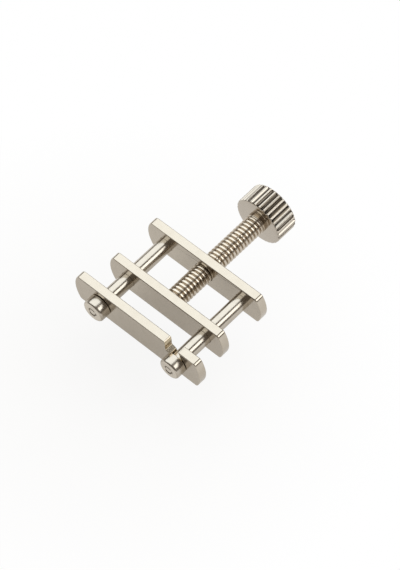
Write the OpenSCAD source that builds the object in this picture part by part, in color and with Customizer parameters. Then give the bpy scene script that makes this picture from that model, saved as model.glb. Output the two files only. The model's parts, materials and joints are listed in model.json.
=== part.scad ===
// Screw clamp for pinching soft tubing.
// A screw through the threaded back bar pushes a sliding jaw along two rods, towards a front jaw.
// The front jaw turns on the pivot rod and hooks over the catch rod.
// X runs along the bars, Y along the rods towards the knob, and Z is up.
// The origin is the middle of the sliding jaw's clamping face, on the screw's axis.

/* [Bars] */
// Length of the back bar and of the sliding jaw, along their top edges
bar_len = 40; // [38:0.5:52]
// Height of every bar
bar_h = 10.9; // [9:0.1:14]
// Thickness of every bar
bar_t = 2.75; // [2.2:0.05:4]
// How far a bar's bowed ends stand out beyond the ends of its top edge
end_bow = 1.5; // [0.8:0.1:2.5]
// Radius of the round at the foot of each bowed end
foot_r = 0.8; // [0.4:0.1:1.5]

/* [Rods] */
// Distance between the axes of the two rods
rod_span = 29; // [24:0.5:32]
// Diameter of each rod
rod_d = 4.65; // [3.5:0.05:5.6]
// How far a rod's back end flares out in its countersink
flare = 0.45; // [0.2:0.05:0.8]
// Diameter of the pivot rod's head
pivot_head_d = 7.2; // [6.4:0.1:9]
// Diameter of the catch rod's head
catch_head_d = 6.8; // [6.4:0.1:9]
// Length of each rod's head
head_len = 3.5; // [2:0.1:5]
// Radius of the round on the front edge of a head
head_round = 0.7; // [0.3:0.1:1]
// Diameter of the shallow mark in the middle of a head
mark_d = 3.2; // [2:0.1:4]
// Depth of the mark in a head
mark_depth = 0.35; // [0.2:0.05:0.8]

/* [Jaws] */
// Gap between the front jaw and the sliding jaw as the clamp is set
jaw_gap = 8.12; // [4:0.02:14]
// Gap between the sliding jaw and the back bar as the clamp is set
back_gap = 12.79; // [6:0.01:20]
// How far the front jaw's top edge runs out beyond the pivot rod's axis
front_left = 8.6; // [8:0.1:12]
// How far the front jaw's top edge runs out beyond the catch rod's axis
front_right = 6.9; // [5.5:0.1:12]

/* [Notch and slot] */
// How far the front jaw is pushed along its slot for each degree that it swings open
shift_per_deg = 0.115; // [0.11:0.001:0.13]
// Swing of the front jaw at which it is fully clear of the catch rod
swing_max = 18; // [18:0.5:20]
// Slope of the slot on the pivot rod, in degrees down towards the jaw's end
slot_slope = 25; // [0:1:30]
// How far the middle of the notch's mouth lies from the catch rod's axis, towards the pivot rod
mouth_shift = 1.9; // [1.7:0.05:2.1]
// Depth of the straight wall of the notch's mouth, below the top of the jaw
mouth_depth = 3.75; // [3:0.05:4.2]
// Slope of the ledge at the foot of that wall, in degrees
ledge_slope = 21; // [10:1:35]

/* [Screw] */
// Outside diameter of the screw
screw_d = 6.35; // [5:0.05:7.8]
// Bare screw between the back bar and the knob as the clamp is set
screw_out = 19.7; // [14:0.1:30]
// Diameter of the flange on the screw's tip, trapped in the sliding jaw
tip_d = 4.6; // [4:0.1:5]
// Diameter of the neck behind that flange
neck_d = 3.4; // [2.6:0.1:3.8]
// Depth of the blind socket for the tip in the back of the sliding jaw
socket_depth = 1.9; // [1.6:0.05:2]
// Thickness of the lip swaged in over the flange
lip_t = 0.5; // [0.3:0.05:0.7]

/* [Knob] */
// Diameter of the knob over its ridges
knob_d = 16; // [12:0.5:22]
// Length of the knob
knob_len = 7.4; // [5:0.1:12]
// Number of ridges round the knob
ridges = 30; // [18:1:36]
// Radius of the round-bottomed grooves between the ridges
groove_r = 0.55; // [0.35:0.05:0.6]
// Chamfer on both ends of the knob
knob_chamfer = 0.4; // [0.2:0.05:0.8]
// Diameter of the screw's spigot that is pressed through the knob
spigot_d = 4.8; // [4:0.1:4.9]

/* [Fits] */
// Clearance all round a rod where a bar slides or turns on it
slide_clear = 0.06; // [0.02:0.01:0.1]
// Clearance all round a rod's riveted end in the back bar
rivet_clear = 0.02; // [0.01:0.01:0.05]
// Clearance all round the catch rod in the front jaw's notch
notch_clear = 0.06; // [0.04:0.01:0.1]
// Clearance all round the screw in the back bar and round its tip in the sliding jaw
screw_clear = 0.05; // [0.02:0.01:0.1]
// Clearance along the rods, behind each head and at each end of the screw's tip
end_clear = 0.1; // [0.05:0.05:0.3]

/* [Hidden] */

$fn = 96;
past = 1;                                  // how far a cutting shape runs on past what it cuts
nickel = [0.80, 0.77, 0.70];
rod_r = rod_d / 2;
rod_x = rod_span / 2;
back_y = bar_t + back_gap;                 // front face of the back bar
front_y = -jaw_gap - bar_t;                // front face of the front jaw
head_y = front_y - end_clear;              // back face of the heads
rod_end_y = back_y + bar_t;                // back end of the rods, flush with the back bar
knob_y = rod_end_y + screw_out;            // front face of the knob
tip_y = bar_t - socket_depth + end_clear;  // front end of the screw
flange_y = bar_t - lip_t - end_clear;      // back of the flange on the tip
shoulder_y = bar_t + end_clear;            // front end of the screw's full diameter
notch_r = rod_r + notch_clear;
mouth_x = rod_x - mouth_shift;
links = 9;                                 // straight steps along the catch rod's way out

// A cylinder along Y from y0 to y1, or a cone if it is given a second radius
module bar_y(y0, y1, r0, r1 = undef) {
    translate([0, y0, 0])
        rotate([-90, 0, 0])
            cylinder(h = y1 - y0, r1 = r0, r2 = is_undef(r1) ? r0 : r1);
}

// A shape drawn with X and Z, made solid along Y from y0 to y1
module slab(y0, y1) {
    translate([0, y1, 0])
        rotate([90, 0, 0])
            linear_extrude(y1 - y0)
                children();
}

// Radius of the arc through both corners of a bar's end that bows out by end_bow
bow_r = (bar_h * bar_h / 4 + end_bow * end_bow) / (2 * end_bow);
// From the middle of that arc to the middle of the foot round, which touches the arc and the bottom
foot_z = foot_r - bar_h / 2;
foot_x = sqrt(pow(bow_r - foot_r, 2) - foot_z * foot_z);

// The bowed end of a bar whose top edge ends at x = 0
module bowed_end() {
    reach = bow_r * foot_x / (bow_r - foot_r);
    drop = bow_r * foot_z / (bow_r - foot_r);
    translate([end_bow - bow_r, 0]) {
        difference() {
            intersection() {
                circle(r = bow_r);
                translate([-past, -bar_h / 2])
                    square([bow_r + 2 * past, bar_h]);
            }
            polygon([
                [foot_x, foot_z], [foot_x, -bar_h / 2 - past],
                [bow_r + past, -bar_h / 2 - past], [bow_r + past, drop], [reach, drop]
            ]);
        }
        translate([foot_x, foot_z])
            circle(r = foot_r);
    }
}

// Outline of a bar whose top edge runs from x0 to x1
module bar_outline(x0, x1) {
    inset = bow_r - end_bow;
    translate([x0 + inset, -bar_h / 2])
        square([x1 - x0 - 2 * inset, bar_h]);
    translate([x1, 0])
        bowed_end();
    translate([x0, 0])
        mirror([1, 0])
            bowed_end();
}

// A round-ended slot of half-width r between two points
module link(p, q, r) {
    step = q - p;
    translate(p)
        circle(r = r);
    translate(q)
        circle(r = r);
    translate(p)
        rotate(atan2(step[1], step[0]))
            translate([0, -r])
                square([norm(step), 2 * r]);
}

// Where the two rods' axes stand in the front jaw's own frame, once it has swung open by angle
function pivot_way(angle) =
    [-rod_x, 0] - shift_per_deg * angle * [cos(slot_slope), sin(slot_slope)];
function catch_way(angle) =
    pivot_way(angle) + rod_span * [cos(angle), sin(angle)];

// The notch of the front jaw: a mouth with a sloped ledge, and the catch rod's way down to its seat
module notch() {
    ledge_z = bar_h / 2 - mouth_depth;
    polygon([
        [mouth_x - notch_r, bar_h / 2 + past],
        [mouth_x - notch_r, ledge_z],
        [mouth_x, ledge_z - notch_r * tan(ledge_slope)],
        [mouth_x + notch_r, ledge_z],
        [mouth_x + notch_r, bar_h / 2 + past]
    ]);
    for (i = [0 : links - 1])
        link(catch_way(swing_max * i / links), catch_way(swing_max * (i + 1) / links), notch_r);
}

// The slot that lets the front jaw shift on the pivot rod
module pivot_slot() {
    link(pivot_way(0), pivot_way(swing_max), rod_r + slide_clear);
}

module back_bar() {
    color(nickel)
        difference() {
            slab(back_y, back_y + bar_t)
                bar_outline(-bar_len / 2, bar_len / 2);
            bar_y(back_y - past, rod_end_y + past, screw_d / 2 + screw_clear);
            for (side = [-1, 1])
                translate([side * rod_x, 0, 0]) {
                    bar_y(back_y - past, rod_end_y + past, rod_r + rivet_clear);
                    bar_y(rod_end_y - flare, rod_end_y, rod_r + rivet_clear, rod_r + flare + rivet_clear);
                }
        }
}

module sliding_jaw() {
    color(nickel)
        difference() {
            slab(0, bar_t)
                bar_outline(-bar_len / 2, bar_len / 2);
            for (side = [-1, 1])
                translate([side * rod_x, 0, 0])
                    bar_y(-past, bar_t + past, rod_r + slide_clear);
            bar_y(bar_t - socket_depth, bar_t - lip_t, tip_d / 2 + screw_clear);
            bar_y(bar_t - socket_depth, bar_t + past, neck_d / 2 + screw_clear);
        }
}

module front_jaw() {
    color(nickel)
        slab(front_y, front_y + bar_t)
            difference() {
                bar_outline(-rod_x - front_left, rod_x + front_right);
                pivot_slot();
                notch();
            }
}

// A rod on the axis x = 0, with a head of diameter head_d
module headed_rod(head_d) {
    color(nickel)
        difference() {
            union() {
                bar_y(head_y, rod_end_y, rod_r);
                bar_y(rod_end_y - flare, rod_end_y, rod_r, rod_r + flare);
                bar_y(head_y - head_len + head_round, head_y, head_d / 2);
                bar_y(head_y - head_len, head_y, head_d / 2 - head_round);
                translate([0, head_y - head_len + head_round, 0])
                    rotate([90, 0, 0])
                        rotate_extrude()
                            translate([head_d / 2 - head_round, 0])
                                circle(r = head_round);
            }
            bar_y(head_y - head_len - past, head_y - head_len + mark_depth, mark_d / 2);
        }
}

module pivot_rod() {
    translate([-rod_x, 0, 0])
        headed_rod(pivot_head_d);
}

module catch_rod() {
    translate([rod_x, 0, 0])
        headed_rod(catch_head_d);
}

module screw() {
    color(nickel) {
        bar_y(tip_y, flange_y, tip_d / 2);
        bar_y(tip_y, shoulder_y, neck_d / 2);
        bar_y(shoulder_y, knob_y, screw_d / 2);
        bar_y(knob_y - past, knob_y + knob_len, spigot_d / 2);
    }
}

module knob() {
    rim = knob_d / 2;
    color(nickel)
        difference() {
            union() {
                bar_y(knob_y, knob_y + knob_chamfer, rim - knob_chamfer, rim);
                bar_y(knob_y + knob_chamfer, knob_y + knob_len - knob_chamfer, rim);
                bar_y(knob_y + knob_len - knob_chamfer, knob_y + knob_len, rim, rim - knob_chamfer);
            }
            bar_y(knob_y - past, knob_y + knob_len + past, spigot_d / 2);
            for (i = [0 : ridges - 1])
                rotate([0, i * 360 / ridges, 0])
                    translate([rim, 0, 0])
                        bar_y(knob_y - past, knob_y + knob_len + past, groove_r);
        }
}

back_bar();
sliding_jaw();
front_jaw();
pivot_rod();
catch_rod();
screw();
knob();
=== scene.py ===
"""The looks of a screw clamp for soft tubing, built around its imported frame.

Bars, rods, screw and knob are nickel-plated brass. The clamp is shown above a wide white floor, low
enough for its front jaw to swing open, under a large softbox and a smaller one on its +X side.
"""
import json
import math

import bmesh
import bpy
from mathutils import Matrix, Vector, noise


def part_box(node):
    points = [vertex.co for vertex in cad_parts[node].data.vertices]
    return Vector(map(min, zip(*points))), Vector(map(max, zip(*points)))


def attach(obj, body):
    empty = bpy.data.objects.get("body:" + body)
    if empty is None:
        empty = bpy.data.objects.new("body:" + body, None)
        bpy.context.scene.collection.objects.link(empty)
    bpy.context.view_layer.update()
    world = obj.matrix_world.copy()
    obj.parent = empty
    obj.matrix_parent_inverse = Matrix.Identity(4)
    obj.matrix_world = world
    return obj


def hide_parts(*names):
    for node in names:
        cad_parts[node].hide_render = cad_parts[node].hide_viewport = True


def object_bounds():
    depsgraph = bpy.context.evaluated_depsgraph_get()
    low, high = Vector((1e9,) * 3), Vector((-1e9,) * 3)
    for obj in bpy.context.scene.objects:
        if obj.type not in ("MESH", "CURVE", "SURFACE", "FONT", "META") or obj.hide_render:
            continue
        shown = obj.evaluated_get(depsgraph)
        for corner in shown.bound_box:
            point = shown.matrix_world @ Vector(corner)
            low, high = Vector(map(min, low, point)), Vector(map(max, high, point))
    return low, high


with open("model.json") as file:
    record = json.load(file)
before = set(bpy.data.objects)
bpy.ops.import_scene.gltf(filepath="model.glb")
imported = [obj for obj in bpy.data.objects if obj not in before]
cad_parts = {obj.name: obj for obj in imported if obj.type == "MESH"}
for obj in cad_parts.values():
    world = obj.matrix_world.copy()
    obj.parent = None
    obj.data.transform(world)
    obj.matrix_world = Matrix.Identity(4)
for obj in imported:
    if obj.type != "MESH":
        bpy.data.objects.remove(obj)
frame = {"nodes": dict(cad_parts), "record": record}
cad_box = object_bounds()

MM = 0.001
SAME_PLACE = 1e-7  # metres: points closer than this are one point
SAME_LEVEL = 1e-6  # metres: the places of corners that differ by less than this are equal

# ---- the view: direction from the back bar to the camera, and the camera's roll and offset ----
VIEW_AZIMUTH = math.radians(47.906)
VIEW_ELEVATION = math.radians(56.438)
VIEW_ROLL = math.radians(-6.138)
VIEW_DISTANCE = 839.14 * MM
VIEW_RIGHT = -1.02 * MM
VIEW_UP = -3.54 * MM
LENS = 270.0
SENSOR = 36.0
CLIP_START = 10 * MM

# ---- bars ----
EDGE_ROUND = 0.28 * MM
EDGE_SEGMENTS = 4
BORE_EDGE_SHARE = 0.35  # how far the edges of bores and notches are rounded, against the outer ones
CORNER_ROUND = 0.8 * MM
CORNER_SEGMENTS = 7
CORNER_ZONE = 1.1 * CORNER_ROUND
OUTER_BAND = 0.05 * MM  # anything this close to a bar's top or bottom is on its outline
OUTER_ENDS = 4 * MM  # and so is anything this close to its ends
CUT_NORMAL_Y = 0.5  # the normal of a face that runs through the bar has less than this along Y
FLAT_ANGLE = math.radians(0.5)
BAR_SIDE_ANGLE = math.radians(28)

# ---- rods ----
ROD_RADIUS = 2.325 * MM
HEAD_LENGTH = 3.5 * MM
HEAD_ROUND = 0.8 * MM
HEAD_BACK_ROUND = 0.2 * MM
HEAD_MARGIN = 0.01 * MM  # points closer than this to the head's back belong to the rod
HEAD_SATIN = 1.0
ROD_SATIN = 0.45
RIVET_FLARE = 0.45 * MM
RIVET_DOME = 0.12 * MM
ROD_SIDE_ANGLE = math.radians(32)

# ---- the ring-shaped mark in the face of a head, and the small boss inside it ----
MARK_RADIUS = 1.6 * MM
MARK_DEPTH = 0.42 * MM
MARK_LIP = 0.05 * MM
MARK_FLOOR_HALF = 0.06 * MM
# painted shade: the mark is tinted dark below this share of its depth
MARK_DARK_SHARE = 0.9  # the share of the depth below which the mark is dark
BOSS_RADIUS = 0.9 * MM
BOSS_SUNK = 0.03 * MM

# ---- screw ----
PITCH = 1.27 * MM
THREAD_RADIUS = 3.175 * MM
THREAD_DEPTH = 0.45 * MM
COLLAR = 0.35 * MM
# how dark the collar by the knob is tinted: partly tarnish, partly painted shade
COLLAR_SHADE_AND_TARNISH = 0.85
RUN_OUT = 1.1 * MM
NECK_RADIUS = 1.7 * MM
TIP_RADIUS = 2.3 * MM
TIP_LENGTH = 1.2 * MM
SHOULDER = 1.9 * MM  # from the end of the tip to the start of the thread
SPIGOT_RADIUS = 2.4 * MM
SPIGOT_RIM = 0.3 * MM
SPIGOT_DISH = 0.1 * MM
LATHE_SIDES = 96
SCREW_WELD = 2e-6
SCREW_SHORTEST_EDGE = 1e-6
SCREW_SIDE_ANGLE = math.radians(50)

# ---- wear of the thread: slightly uneven crests, and a band of small nicks. AROUND and ALONG
# ---- say how fast the noise changes round the thread and for each millimetre along it ----
WOBBLE = 0.018 * MM
WOBBLE_AROUND = 2.6
WOBBLE_ALONG = 1.3
NICK_DEPTH = 0.2 * MM
NICK_ANGLE = math.radians(24)
NICK_SPREAD = math.radians(13)
NICK_AROUND = 5.5
NICK_ALONG = 1.15
NICK_LAYER = 7.3
NICKS_AFTER_BAR = 1 * MM
NICKS_BEFORE_KNOB = 7 * MM

# ---- knob ----
RIDGES = 30
RIDGE_COLUMNS = 24
GROOVE_WIDTH = 1.3 * MM
GROOVE_SLOPE = 1.4
GROOVE_EASE = 0.1 * MM
GROOVE_ROOT = 0.36 * MM
GROOVE_RUN_OUT = 0.55 * MM
GROOVE_END_SHARE = 0.45  # the share of their depth that the grooves still have at the knob's faces
KNOB_CHAMFER = 0.75 * MM
KNOB_CHAMFER_ALONG = 0.42 * MM
KNOB_CHAMFER_STEPS = 6
KNOB_SIDE_ANGLE = math.radians(32)

# ---- plating: its grain and patches, how its machined and satin parts differ, and painted light on head faces and machined faces ----
DRAWN_GRAIN = (300.0, 9000.0, 9000.0)
TURNED_GRAIN = (6000.0, 6000.0, 6000.0)
GRAIN_HEIGHT = 0.02 * MM
PATCH_SCALE = 420.0
PATCH_COLOUR_RANGE = (0.3, 0.6)
PATCH_ROUGHNESS_RANGE = (0.3, 0.7)
ROUGHNESS_SPREAD = 0.15
# painted light: a lighter colour on the heads' faces, standing in for a brighter reflection
PAINTED_HEAD_FACE_LIGHT = (0.72, 0.663, 0.575)
# machined faces: a warm brass tone, made lighter too as painted light
MACHINED_BRASS_AND_LIGHT = (0.64, 0.56, 0.435)
MACHINED_ROUGHER = 0.05
MACHINED_BUMP = 0.7
SATIN_ROUGHER = 0.1

# A finish's dark tint for its hollows, partly tarnish and partly painted shade, is given as its colour
# and the values of the mesh's mark for it at which the tint starts and is full.
FINISHES = {
    "nickel_bar": {
        "colour": (0.525, 0.47, 0.392),
        "dark_colour": (0.505, 0.45, 0.372),
        "roughness": 0.16,
        "grain": DRAWN_GRAIN,
        "grain_bump": 0.05,
    },
    "nickel_rod": {
        "colour": (0.52, 0.47, 0.40),
        "dark_colour": (0.50, 0.45, 0.38),
        "roughness": 0.15,
        "grain": TURNED_GRAIN,
        "grain_bump": 0.1,
        # painted shade: near black in the deep part of a head's mark
        "tarnish_and_shade": ((0.14, 0.115, 0.09), 0.0, 1.0),
    },
    "nickel_screw": {
        "colour": (0.62, 0.55, 0.455),
        "dark_colour": (0.585, 0.51, 0.415),
        "roughness": 0.22,
        "grain": TURNED_GRAIN,
        "grain_bump": 0.1,
        # partly tarnish, partly painted shade: brown towards the thread's roots and on the collar
        "tarnish_and_shade": ((0.30, 0.23, 0.155), 0.3, 0.95),
    },
    "nickel_knob": {
        "colour": (0.515, 0.463, 0.395),
        "dark_colour": (0.495, 0.443, 0.375),
        "roughness": 0.12,
        "grain": TURNED_GRAIN,
        "grain_bump": 0.1,
        # partly tarnish, partly painted shade: near black towards the grooves' bottoms
        "tarnish_and_shade": ((0.05, 0.04, 0.03), 0.35, 1.0),
    },
}

# ---- the floor, which camera and metal see whiter the farther it is from a shaded middle ----
FLOOR_HALF = 6.0
FLOOR_COLOUR = (0.70, 0.645, 0.58)
FLOOR_ROUGHNESS = 0.9
FLOOR_SPECULAR = 0.1
FLOOR_SEEN = 0.88
FLOOR_MIRRORED = 0.36
# painted shade: less white glow is mixed into the floor towards this point, so it and its reflection in
# the metal are darker there
FLOOR_SHADE_X = -8 * MM
FLOOR_SHADE_Y = -16 * MM
FLOOR_NEAR = 12 * MM
FLOOR_FAR = 85 * MM
WORLD_COLOUR = (0.22, 0.20, 0.18)

# ---- the sockets of a Mix node that mixes colours ----
MIX_SHARE = 0
MIX_FIRST = 6
MIX_SECOND = 7
MIX_RESULT = 2


# ---------------------------------------------------------------- meshes

def add_object(name, bm):
    """A linked object that holds the bmesh, which is used up."""
    mesh = bpy.data.meshes.new(name)
    bm.to_mesh(mesh)
    bm.free()
    obj = bpy.data.objects.new(name, mesh)
    bpy.context.scene.collection.objects.link(obj)
    return obj


def place(obj, node, material):
    """The piece stands for a CAD node, rides on that node's body and takes the given finish."""
    body = next(b for b, nodes in frame["record"]["behaviour"]["bodies"].items() if node in nodes)
    obj.data.materials.clear()
    obj.data.materials.append(material)
    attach(obj, body)
    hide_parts(node)


def smooth_by_angle(bm, limit):
    """Smooth faces, with the edges that turn more than the limit kept sharp."""
    bm.normal_update()
    for face in bm.faces:
        face.smooth = True
    for edge in bm.edges:
        edge.smooth = edge.calc_face_angle(0) < limit


def arc(centre, radius, start, end, steps):
    """Points (along, out) on an arc whose angles are in degrees from the outward direction."""
    angles = [math.radians(start + (end - start) * i / steps) for i in range(steps + 1)]
    return [(centre[0] + radius * math.sin(a), centre[1] + radius * math.cos(a)) for a in angles]


def circle(bm, x, y, radius, sides):
    """New points on a circle about the line through x that runs along Y."""
    angles = [2 * math.pi * i / sides for i in range(sides)]
    return [bm.verts.new((x + radius * math.sin(a), y, radius * math.cos(a))) for a in angles]


def lathe(bm, x, profile):
    """Turns a profile of (y, radius) points about the line through x that runs along Y."""
    rings = []
    for y, radius in profile:
        on_axis = radius < SAME_PLACE
        rings.append([bm.verts.new((x, y, 0))] if on_axis else circle(bm, x, y, radius, LATHE_SIDES))
    for low, high in zip(rings, rings[1:]):
        for i in range(LATHE_SIDES):
            j = (i + 1) % LATHE_SIDES
            corners = [low[i % len(low)], low[j % len(low)], high[j % len(high)], high[i % len(high)]]
            bm.faces.new(list(dict.fromkeys(corners)))


# ---------------------------------------------------------------- bars

def round_top_corners(bm, top):
    """Rounds a bar's two upper corners, first making its bowed ends flat where the rounding goes."""
    for side in (-1, 1):
        end = max(side * v.co.x for v in bm.verts if v.co.z > top - SAME_LEVEL)
        creases = []
        for edge in bm.edges:
            a, b = (v.co for v in edge.verts)
            level = abs(a.z - b.z) < SAME_LEVEL
            in_zone = top - CORNER_ZONE < a.z < top - SAME_LEVEL
            if level and in_zone and min(side * a.x, side * b.x) > end:
                creases.append(edge)
        bmesh.ops.dissolve_edges(bm, edges=creases, use_verts=True)
        corner = []
        for edge in bm.edges:
            a, b = (v.co for v in edge.verts)
            at_top = min(a.z, b.z) > top - SAME_LEVEL
            if at_top and min(side * a.x, side * b.x) > end - SAME_LEVEL:
                corner.append(edge)
        bmesh.ops.bevel(
            bm, geom=corner, offset=CORNER_ROUND, segments=CORNER_SEGMENTS, profile=0.5,
            affect="EDGES",
        )


def make_bar(node, material):
    """A bar: the CAD solid with its edges slightly rounded, and its cut faces marked as machined."""
    bm = bmesh.new()
    bm.from_mesh(frame["nodes"][node].data)
    bmesh.ops.remove_doubles(bm, verts=bm.verts, dist=SAME_PLACE)
    bmesh.ops.dissolve_limit(bm, angle_limit=FLAT_ANGLE, verts=bm.verts, edges=bm.edges)
    top = max(v.co.z for v in bm.verts)
    round_top_corners(bm, top)
    smooth_by_angle(bm, BAR_SIDE_ANGLE)
    low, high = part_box(node)

    def on_outline(spot):
        at_end = spot.x < low.x + OUTER_ENDS or spot.x > high.x - OUTER_ENDS
        return at_end or abs(spot.z) > top - OUTER_BAND

    weights = bm.edges.layers.float.new("bevel_weight_edge")
    for edge in bm.edges:
        middle = (edge.verts[0].co + edge.verts[1].co) / 2
        if not edge.smooth:
            edge[weights] = 1.0 if on_outline(middle) else BORE_EDGE_SHARE
    # machined faces are rougher and bumpier, and tinted a warm brass made lighter as painted light
    machined = bm.faces.layers.float.new("machined")
    for face in bm.faces:
        is_cut = abs(face.normal.y) < CUT_NORMAL_Y and not on_outline(face.calc_center_median())
        face[machined] = 1.0 if is_cut else 0.0
    bar = add_object(node + "_plated", bm)
    rounding = bar.modifiers.new("edges", "BEVEL")
    rounding.width = EDGE_ROUND
    rounding.segments = EDGE_SEGMENTS
    rounding.limit_method = "WEIGHT"
    rounding.use_clamp_overlap = False
    rounding.loop_slide = False
    rounding.harden_normals = True
    place(bar, node, material)


# ---------------------------------------------------------------- rods

def head_mark():
    """The mark in a head's face as (depth, radius) points, from the boss's middle to the lip."""
    floor = (MARK_RADIUS + BOSS_RADIUS) / 2
    return [
        (BOSS_SUNK, 0),
        (BOSS_SUNK * 1.3, BOSS_RADIUS * 0.8),
        (BOSS_SUNK * 2, BOSS_RADIUS),
        (MARK_DEPTH * 0.95, floor - MARK_FLOOR_HALF),
        (MARK_DEPTH, floor + MARK_FLOOR_HALF),
        (MARK_LIP * 0.8, MARK_RADIUS - MARK_LIP * 0.6),
        (MARK_LIP * 0.16, MARK_RADIUS),
        (0, MARK_RADIUS + MARK_LIP),
    ]


def make_rod(node, material):
    """A rod with its turned head in front and its riveted end in the back bar."""
    low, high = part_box(node)
    x = (low.x + high.x) / 2
    head_radius = (high.x - low.x) / 2
    front, back = low.y, high.y
    head_back = front + HEAD_LENGTH
    front_centre = (front + HEAD_ROUND, head_radius - HEAD_ROUND)
    back_centre = (head_back - HEAD_BACK_ROUND, head_radius - HEAD_BACK_ROUND)
    bm = bmesh.new()
    lathe(bm, x, [
        *((front + depth, radius) for depth, radius in head_mark()),
        *arc(front_centre, HEAD_ROUND, start=-90, end=0, steps=8),
        *arc(back_centre, HEAD_BACK_ROUND, start=0, end=90, steps=4),
        (head_back, ROD_RADIUS),
        (back - RIVET_FLARE, ROD_RADIUS),
        (back, ROD_RADIUS + RIVET_FLARE),
        (back + RIVET_DOME * 0.6, ROD_RADIUS + RIVET_FLARE * 0.3),
        (back + RIVET_DOME, 0),
    ])
    satin = bm.verts.layers.float.new("satin")
    painted_face_light = bm.verts.layers.float.new("painted_face_light")
    tarnish_and_shade = bm.verts.layers.float.new("tarnish_and_shade")
    for point in bm.verts:
        on_head = point.co.y < head_back - HEAD_MARGIN
        from_axis = math.hypot(point.co.x - x, point.co.z)
        on_face = on_head and from_axis < head_radius - HEAD_ROUND / 2
        in_mark = on_face and point.co.y > front + MARK_DEPTH * MARK_DARK_SHARE
        point[satin] = HEAD_SATIN if on_head else ROD_SATIN
        # painted light: the head's face gets a lighter colour
        point[painted_face_light] = 1.0 if on_face else 0.0
        # painted shade: the deep part of the mark is tinted dark
        point[tarnish_and_shade] = 1.0 if in_mark else 0.0
    bmesh.ops.recalc_face_normals(bm, faces=bm.faces)
    smooth_by_angle(bm, ROD_SIDE_ANGLE)
    place(add_object(node + "_turned", bm), node, material)


# ---------------------------------------------------------------- screw

def thread_turn():
    """One turn's rows as (share of the pitch, share of the thread's depth), from root to root."""
    flank = [
        (0.5, 1.0), (0.435, 0.985), (0.39, 0.9), (0.35, 0.7),
        (0.315, 0.42), (0.28, 0.18), (0.235, 0.06), (0.12, 0.01),
    ]
    rising = [(-away, depth) for away, depth in flank]
    falling = [(away, depth) for away, depth in flank[:0:-1]]
    return rising + falling


def wobble(angle, y):
    """How much the thread is worn at a place, from 0 to 2, averaging 1."""
    along = y / MM * WOBBLE_ALONG
    spot = Vector((math.sin(angle) * WOBBLE_AROUND, along, math.cos(angle) * WOBBLE_AROUND))
    return 1 - noise.noise(spot)


def nick(angle, y):
    """How deep the thread is nicked at a place, from 0 to 1. The nicks lie in a band along it."""
    speckle = max(noise.noise(Vector((angle * NICK_AROUND, y / MM * NICK_ALONG, NICK_LAYER))), 0)
    return speckle * math.exp(-((angle - NICK_ANGLE) / NICK_SPREAD) ** 2)


def add_thread(bm, start, end):
    """A right-hand thread, cut off square at its start. Before its end it runs out into a collar."""
    tarnish_and_shade = bm.verts.layers.float.new("tarnish_and_shade")
    nicks_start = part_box("back_bar")[1].y + NICKS_AFTER_BAR
    nicks_end = end - NICKS_BEFORE_KNOB
    turn = thread_turn()
    turn_rows = len(turn)
    turns = int((end - start) / PITCH) + 2
    rows = []
    for number in range(-turn_rows, turn_rows * turns):
        share, depth = turn[number % turn_rows]
        row = []
        for i in range(LATHE_SIDES):
            angle = 2 * math.pi * i / LATHE_SIDES
            along = start + PITCH * (number // turn_rows + 0.5 + share + i / LATHE_SIDES)
            y = min(max(along, start), end)
            fade = min(max((end - COLLAR - y) / RUN_OUT, 0), 1)
            cut = THREAD_DEPTH * (depth if along > start else 1) * fade
            wear = WOBBLE * fade * wobble(angle, y)
            if nicks_start < y < nicks_end:
                wear += NICK_DEPTH * nick(angle, y)
            radius = THREAD_RADIUS - cut - wear * (1 - cut / THREAD_DEPTH)
            point = bm.verts.new((radius * math.sin(angle), y, radius * math.cos(angle)))
            # partly tarnish, partly painted shade: darker the deeper the cut, and on the collar
            point[tarnish_and_shade] = max(cut / THREAD_DEPTH, COLLAR_SHADE_AND_TARNISH * (1 - fade))
            row.append(point)
        rows.append(row)
    for k, (row, above) in enumerate(zip(rows, rows[1:])):
        for i in range(LATHE_SIDES - 1):
            bm.faces.new((row[i], row[i + 1], above[i + 1], above[i]))
        next_turn = k + turn_rows
        if next_turn + 1 < len(rows):
            bm.faces.new((row[-1], rows[next_turn][0], rows[next_turn + 1][0], above[-1]))


def make_screw(material):
    """The screw: its tip and neck in the jaw, the thread, and the spigot that fills the knob's bore."""
    low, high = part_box("screw")
    start = low.y + SHOULDER
    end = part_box("knob")[0].y
    bm = bmesh.new()
    lathe(bm, 0, [
        (low.y, 0),
        (low.y, TIP_RADIUS),
        (low.y + TIP_LENGTH, TIP_RADIUS),
        (low.y + TIP_LENGTH, NECK_RADIUS),
        (start, NECK_RADIUS),
        (start, THREAD_RADIUS - THREAD_DEPTH),
    ])
    add_thread(bm, start, end)
    lathe(bm, 0, [
        (end, THREAD_RADIUS),
        (end, SPIGOT_RADIUS),
        (high.y, SPIGOT_RADIUS),
        (high.y, SPIGOT_RADIUS - SPIGOT_RIM),
        (high.y - SPIGOT_DISH, 0),
    ])
    bmesh.ops.remove_doubles(bm, verts=bm.verts, dist=SCREW_WELD)
    bmesh.ops.dissolve_degenerate(bm, edges=bm.edges, dist=SCREW_SHORTEST_EDGE)
    bmesh.ops.recalc_face_normals(bm, faces=bm.faces)
    smooth_by_angle(bm, SCREW_SIDE_ANGLE)
    place(add_object("screw_threaded", bm), "screw", material)


# ---------------------------------------------------------------- knob

def groove_depth(angle, rim):
    """Depth of the knob's outline at an angle: V-shaped grooves between narrow, eased ridges."""
    step = 2 * math.pi / RIDGES
    off = abs((angle / step + 0.5) % 1 - 0.5) * step * rim
    across = GROOVE_WIDTH / 2 + GROOVE_EASE - off
    if across <= 0:
        return 0
    if across < 2 * GROOVE_EASE:
        return GROOVE_SLOPE * across ** 2 / (4 * GROOVE_EASE)
    if off > GROOVE_ROOT:
        return GROOVE_SLOPE * (across - GROOVE_EASE)
    return GROOVE_SLOPE * (GROOVE_WIDTH / 2 - GROOVE_ROOT / 2 - off ** 2 / (2 * GROOVE_ROOT))


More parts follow.
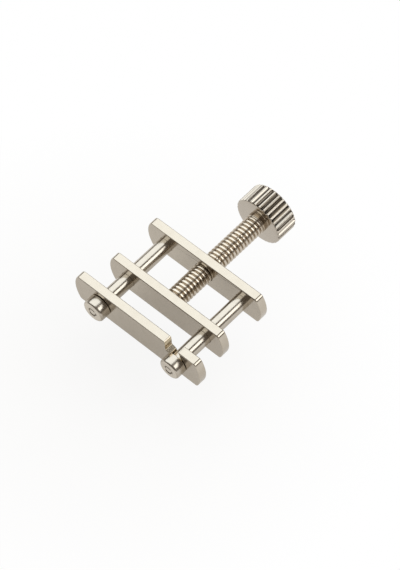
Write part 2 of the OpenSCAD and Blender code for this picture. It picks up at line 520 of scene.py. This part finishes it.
def knob_edge(rim):
    """The knob's rounded edge as (distance from its face, radius), from the ridges to the face."""
    edge = [(GROOVE_RUN_OUT, rim)]
    for i in range(KNOB_CHAMFER_STEPS + 1):
        a = math.radians(90 * i / KNOB_CHAMFER_STEPS)
        along = KNOB_CHAMFER_ALONG * (1 - math.sin(a))
        edge.append((along, rim - KNOB_CHAMFER * (1 - math.cos(a))))
    return edge


def make_knob(material):
    """The knob: straight ridges all round, rounded edges, flat faces and a bore for the spigot."""
    low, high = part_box("knob")
    rim = (high.x - low.x) / 2
    columns = RIDGES * RIDGE_COLUMNS
    levels = [(low.y + along, radius) for along, radius in reversed(knob_edge(rim))]
    levels += [(high.y - along, radius) for along, radius in knob_edge(rim)]
    bm = bmesh.new()
    tarnish_and_shade = bm.verts.layers.float.new("tarnish_and_shade")
    deepest = groove_depth(0, rim)
    rings = []
    for y, radius in levels:
        inwards = min(min(y - low.y, high.y - y) / GROOVE_RUN_OUT, 1)
        share = GROOVE_END_SHARE + (1 - GROOVE_END_SHARE) * inwards
        ring = []
        for i in range(columns):
            angle = 2 * math.pi * i / columns
            depth = groove_depth(angle, rim) * share
            r = min(radius, rim - depth)
            point = bm.verts.new((r * math.sin(angle), y, r * math.cos(angle)))
            # partly tarnish, partly painted shade: darker the deeper the groove
            if rim - depth <= radius:
                point[tarnish_and_shade] = depth / deepest
            ring.append(point)
        rings.append(ring)
    near_bore = circle(bm, 0, low.y, SPIGOT_RADIUS, columns)
    far_bore = circle(bm, 0, high.y, SPIGOT_RADIUS, columns)
    rings = [near_bore, *rings, far_bore]
    for a, b in zip(rings, rings[1:] + rings[:1]):
        for i in range(columns):
            j = (i + 1) % columns
            bm.faces.new((a[i], a[j], b[j], b[i]))
    bmesh.ops.recalc_face_normals(bm, faces=bm.faces)
    smooth_by_angle(bm, KNOB_SIDE_ANGLE)
    place(add_object("knob_ridged", bm), "knob", material)


# ---------------------------------------------------------------- materials

def add_node(tree, kind, **values):
    """A shader node with the given properties and the given values on its sockets."""
    new = tree.nodes.new(kind)
    for key, value in values.items():
        if key in new.inputs:
            new.inputs[key].default_value = value
        else:
            setattr(new, key, value)
    return new


def map_range(tree, value, source, target=(0.0, 1.0)):
    """The value, carried from one range to another and kept inside it."""
    new = add_node(tree, "ShaderNodeMapRange")
    for name, number in zip(("From Min", "From Max", "To Min", "To Max"), (*source, *target)):
        new.inputs[name].default_value = number
    tree.links.new(value, new.inputs["Value"])
    return new.outputs["Result"]


def calculate(tree, operation, *values):
    """The result of a Math node. Each of the values is a number or another node's output."""
    new = add_node(tree, "ShaderNodeMath", operation=operation)
    for value, socket in zip(values, new.inputs):
        if isinstance(value, float):
            socket.default_value = value
        else:
            tree.links.new(value, socket)
    return new.outputs[0]


def mix_in(tree, tint, colour, share):
    """A node's tint with a share of a colour mixed in."""
    new = add_node(tree, "ShaderNodeMix", data_type="RGBA")
    tree.links.new(share, new.inputs[MIX_SHARE])
    tree.links.new(tint, new.inputs[MIX_FIRST])
    new.inputs[MIX_SECOND].default_value = (*colour, 1)
    return new.outputs[MIX_RESULT]


def marked(tree, name):
    """A mesh's own value for a mark, such as the one for tarnish and painted shade. It is 0 on a mesh
    that has no such mark.
    """
    return add_node(tree, "ShaderNodeAttribute", attribute_name=name).outputs["Fac"]


def make_nickel(name, colour, dark_colour, roughness, grain, grain_bump, tarnish_and_shade=None):
    """Nickel plate: warm metal with soft patches and faint grain, tarnish and painted shade in its
    hollows, and painted light on head faces and machined faces.
    """
    material = bpy.data.materials.new(name)
    material.use_nodes = True
    tree = material.node_tree
    link = tree.links.new
    shader = tree.nodes["Principled BSDF"]
    shader.inputs["Metallic"].default_value = 1.0
    spot = add_node(tree, "ShaderNodeTexCoord").outputs["Object"]
    machined = marked(tree, "machined")

    clouds = add_node(tree, "ShaderNodeTexNoise", Scale=PATCH_SCALE, Detail=3.0, Roughness=0.55)
    link(spot, clouds.inputs["Vector"])
    patches = clouds.outputs["Fac"]
    base = add_node(tree, "ShaderNodeRGB")
    base.outputs[0].default_value = (*dark_colour, 1)
    tint = mix_in(tree, base.outputs[0], colour, map_range(tree, patches, PATCH_COLOUR_RANGE))
    # painted light: a lighter colour on the heads' faces
    tint = mix_in(tree, tint, PAINTED_HEAD_FACE_LIGHT, marked(tree, "painted_face_light"))
    # machined faces: warm brass, made lighter as painted light
    tint = mix_in(tree, tint, MACHINED_BRASS_AND_LIGHT, machined)
    # partly tarnish, partly painted shade in hollows; only painted shade in a head's mark
    if tarnish_and_shade:
        shade_and_tarnish_colour, starts, full = tarnish_and_shade
        tint = mix_in(tree, tint, shade_and_tarnish_colour, map_range(tree, marked(tree, "tarnish_and_shade"), (starts, full)))
    link(tint, shader.inputs["Base Color"])

    spread = (roughness * (1 + ROUGHNESS_SPREAD), roughness * (1 - ROUGHNESS_SPREAD))
    dull = map_range(tree, patches, PATCH_ROUGHNESS_RANGE, spread)
    dull = calculate(tree, "MULTIPLY_ADD", machined, MACHINED_ROUGHER, dull)
    dull = calculate(tree, "MULTIPLY_ADD", marked(tree, "satin"), SATIN_ROUGHER, dull)
    link(dull, shader.inputs["Roughness"])

    stretch = add_node(tree, "ShaderNodeMapping", Scale=grain)
    link(spot, stretch.inputs["Vector"])
    lines = add_node(tree, "ShaderNodeTexNoise", Scale=1.0, Detail=4.0, Roughness=0.6)
    link(stretch.outputs["Vector"], lines.inputs["Vector"])
    bump = add_node(tree, "ShaderNodeBump", Distance=GRAIN_HEIGHT)
    strength = calculate(tree, "MULTIPLY_ADD", machined, MACHINED_BUMP, grain_bump)
    link(strength, bump.inputs["Strength"])
    link(lines.outputs["Fac"], bump.inputs["Height"])
    link(bump.outputs["Normal"], shader.inputs["Normal"])
    return material


# ---------------------------------------------------------------- the setting

def make_camera():
    """A long lens above the clamp's front right corner."""
    back = Vector((
        math.sin(VIEW_AZIMUTH) * math.cos(VIEW_ELEVATION),
        -math.cos(VIEW_AZIMUTH) * math.cos(VIEW_ELEVATION),
        math.sin(VIEW_ELEVATION),
    ))
    level = Vector((0, 0, 1)).cross(back).normalized()
    upright = back.cross(level)
    right = level * math.cos(VIEW_ROLL) + upright * math.sin(VIEW_ROLL)
    up = upright * math.cos(VIEW_ROLL) - level * math.sin(VIEW_ROLL)
    target = Vector((0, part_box("back_bar")[0].y, 0))
    where = target + back * VIEW_DISTANCE + right * VIEW_RIGHT + up * VIEW_UP
    data = bpy.data.cameras.new("camera")
    data.lens = LENS
    data.sensor_fit = "HORIZONTAL"
    data.sensor_width = SENSOR
    data.clip_start = CLIP_START
    camera = bpy.data.objects.new("camera", data)
    facing = Matrix((right, up, back)).transposed().to_4x4()
    camera.matrix_world = Matrix.Translation(where) @ facing
    bpy.context.scene.collection.objects.link(camera)
    bpy.context.scene.camera = camera


def open_jaw_reach():
    """The height down to which the front jaw's far end comes when it is swung fully open."""
    joints = frame["record"]["behaviour"]["joints"]
    swing = next(j for j in joints if j["name"] == "front_swing")
    low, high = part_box("front_jaw")
    angle = math.radians(swing["range_deg"][1])
    return low.z * math.cos(angle) - (high.x - swing["pos_m"][0]) * math.sin(angle)


def floor_white(height):
    """Matt white, which camera and metal see as an even white away from its shaded middle."""
    material = bpy.data.materials.new("floor_white")
    material.use_nodes = True
    tree = material.node_tree
    link = tree.links.new
    shader = tree.nodes["Principled BSDF"]
    shader.inputs["Base Color"].default_value = (*FLOOR_COLOUR, 1)
    shader.inputs["Roughness"].default_value = FLOOR_ROUGHNESS
    shader.inputs["Specular IOR Level"].default_value = FLOOR_SPECULAR
    white = add_node(tree, "ShaderNodeEmission", Strength=1.0)
    distance = add_node(tree, "ShaderNodeVectorMath", operation="DISTANCE")
    distance.inputs[1].default_value = (FLOOR_SHADE_X, FLOOR_SHADE_Y, height)
    link(add_node(tree, "ShaderNodeTexCoord").outputs["Object"], distance.inputs[0])
    away = distance.outputs["Value"]
    rays = add_node(tree, "ShaderNodeLightPath").outputs
    mirrored = calculate(tree, "MAXIMUM", rays["Is Glossy Ray"], rays["Is Transmission Ray"])
    shares = []
    for ray, near in ((rays["Is Camera Ray"], FLOOR_SEEN), (mirrored, FLOOR_MIRRORED)):
        whiter = map_range(tree, away, (FLOOR_NEAR, FLOOR_FAR), (near, 1.0))
        shares.append(calculate(tree, "MULTIPLY", ray, whiter))
    blend = add_node(tree, "ShaderNodeMixShader")
    link(calculate(tree, "MAXIMUM", *shares), blend.inputs[0])
    link(shader.outputs[0], blend.inputs[1])
    link(white.outputs[0], blend.inputs[2])
    link(blend.outputs[0], tree.nodes["Material Output"].inputs["Surface"])
    return material


def make_floor():
    """A wide white floor, just low enough for the front jaw to swing open above it."""
    height = open_jaw_reach()
    bm = bmesh.new()
    corners = []
    for x, y in ((-1, -1), (1, -1), (1, 1), (-1, 1)):
        corners.append(bm.verts.new((x * FLOOR_HALF, y * FLOOR_HALF, height)))
    bm.faces.new(corners)
    floor = add_object("floor", bm)
    floor.data.materials.append(floor_white(height))


def make_softbox(name, rise, back_share, distance, size, strength, colour):
    """An area light that faces the clamp: rise is its angle round the Y axis, from +X up over +Z.

    back_share is how far it also stands along +Y, as a share of its distance. Strength 1 is white.
    """
    data = bpy.data.lights.new(name, "AREA")
    data.shape = "RECTANGLE"
    data.size, data.size_y = size
    data.color = colour
    data.energy = strength * math.pi * size[0] * size[1]
    lamp = bpy.data.objects.new(name, data)
    turn = math.radians(rise)
    across = math.sqrt(1 - back_share ** 2)
    towards = Vector((across * math.cos(turn), back_share, across * math.sin(turn)))
    side = Vector((0, 1, 0)).cross(towards).normalized()
    target = (Vector(cad_box[0]) + Vector(cad_box[1])) / 2
    facing = Matrix((side, towards.cross(side), towards)).transposed().to_4x4()
    lamp.matrix_world = Matrix.Translation(target + towards * distance) @ facing
    bpy.context.scene.collection.objects.link(lamp)


def make_world():
    """A dim, warm surround, which the metal mirrors beyond the floor and the softboxes."""
    world = bpy.data.worlds.new("studio")
    bpy.context.scene.world = world
    world.use_nodes = True
    background = world.node_tree.nodes["Background"]
    background.inputs["Color"].default_value = (*WORLD_COLOUR, 1)
    background.inputs["Strength"].default_value = 1.0


make_camera()
make_floor()
make_world()
make_softbox(
    "overhead", rise=120, back_share=0.2, distance=0.6, size=(0.9, 1.05), strength=1.72,
    colour=(0.885, 0.952, 1.0),
)
make_softbox(
    "side", rise=43, back_share=0.37, distance=0.6, size=(0.32, 0.5), strength=2.3,
    colour=(0.97, 0.99, 1.0),
)

plates = {name: make_nickel(name, **finish) for name, finish in FINISHES.items()}
for name in ("back_bar", "sliding_jaw", "front_jaw"):
    make_bar(name, plates["nickel_bar"])
for name in ("pivot_rod", "catch_rod"):
    make_rod(name, plates["nickel_rod"])
make_screw(plates["nickel_screw"])
make_knob(plates["nickel_knob"])

bpy.context.scene.view_settings.view_transform = "Standard"
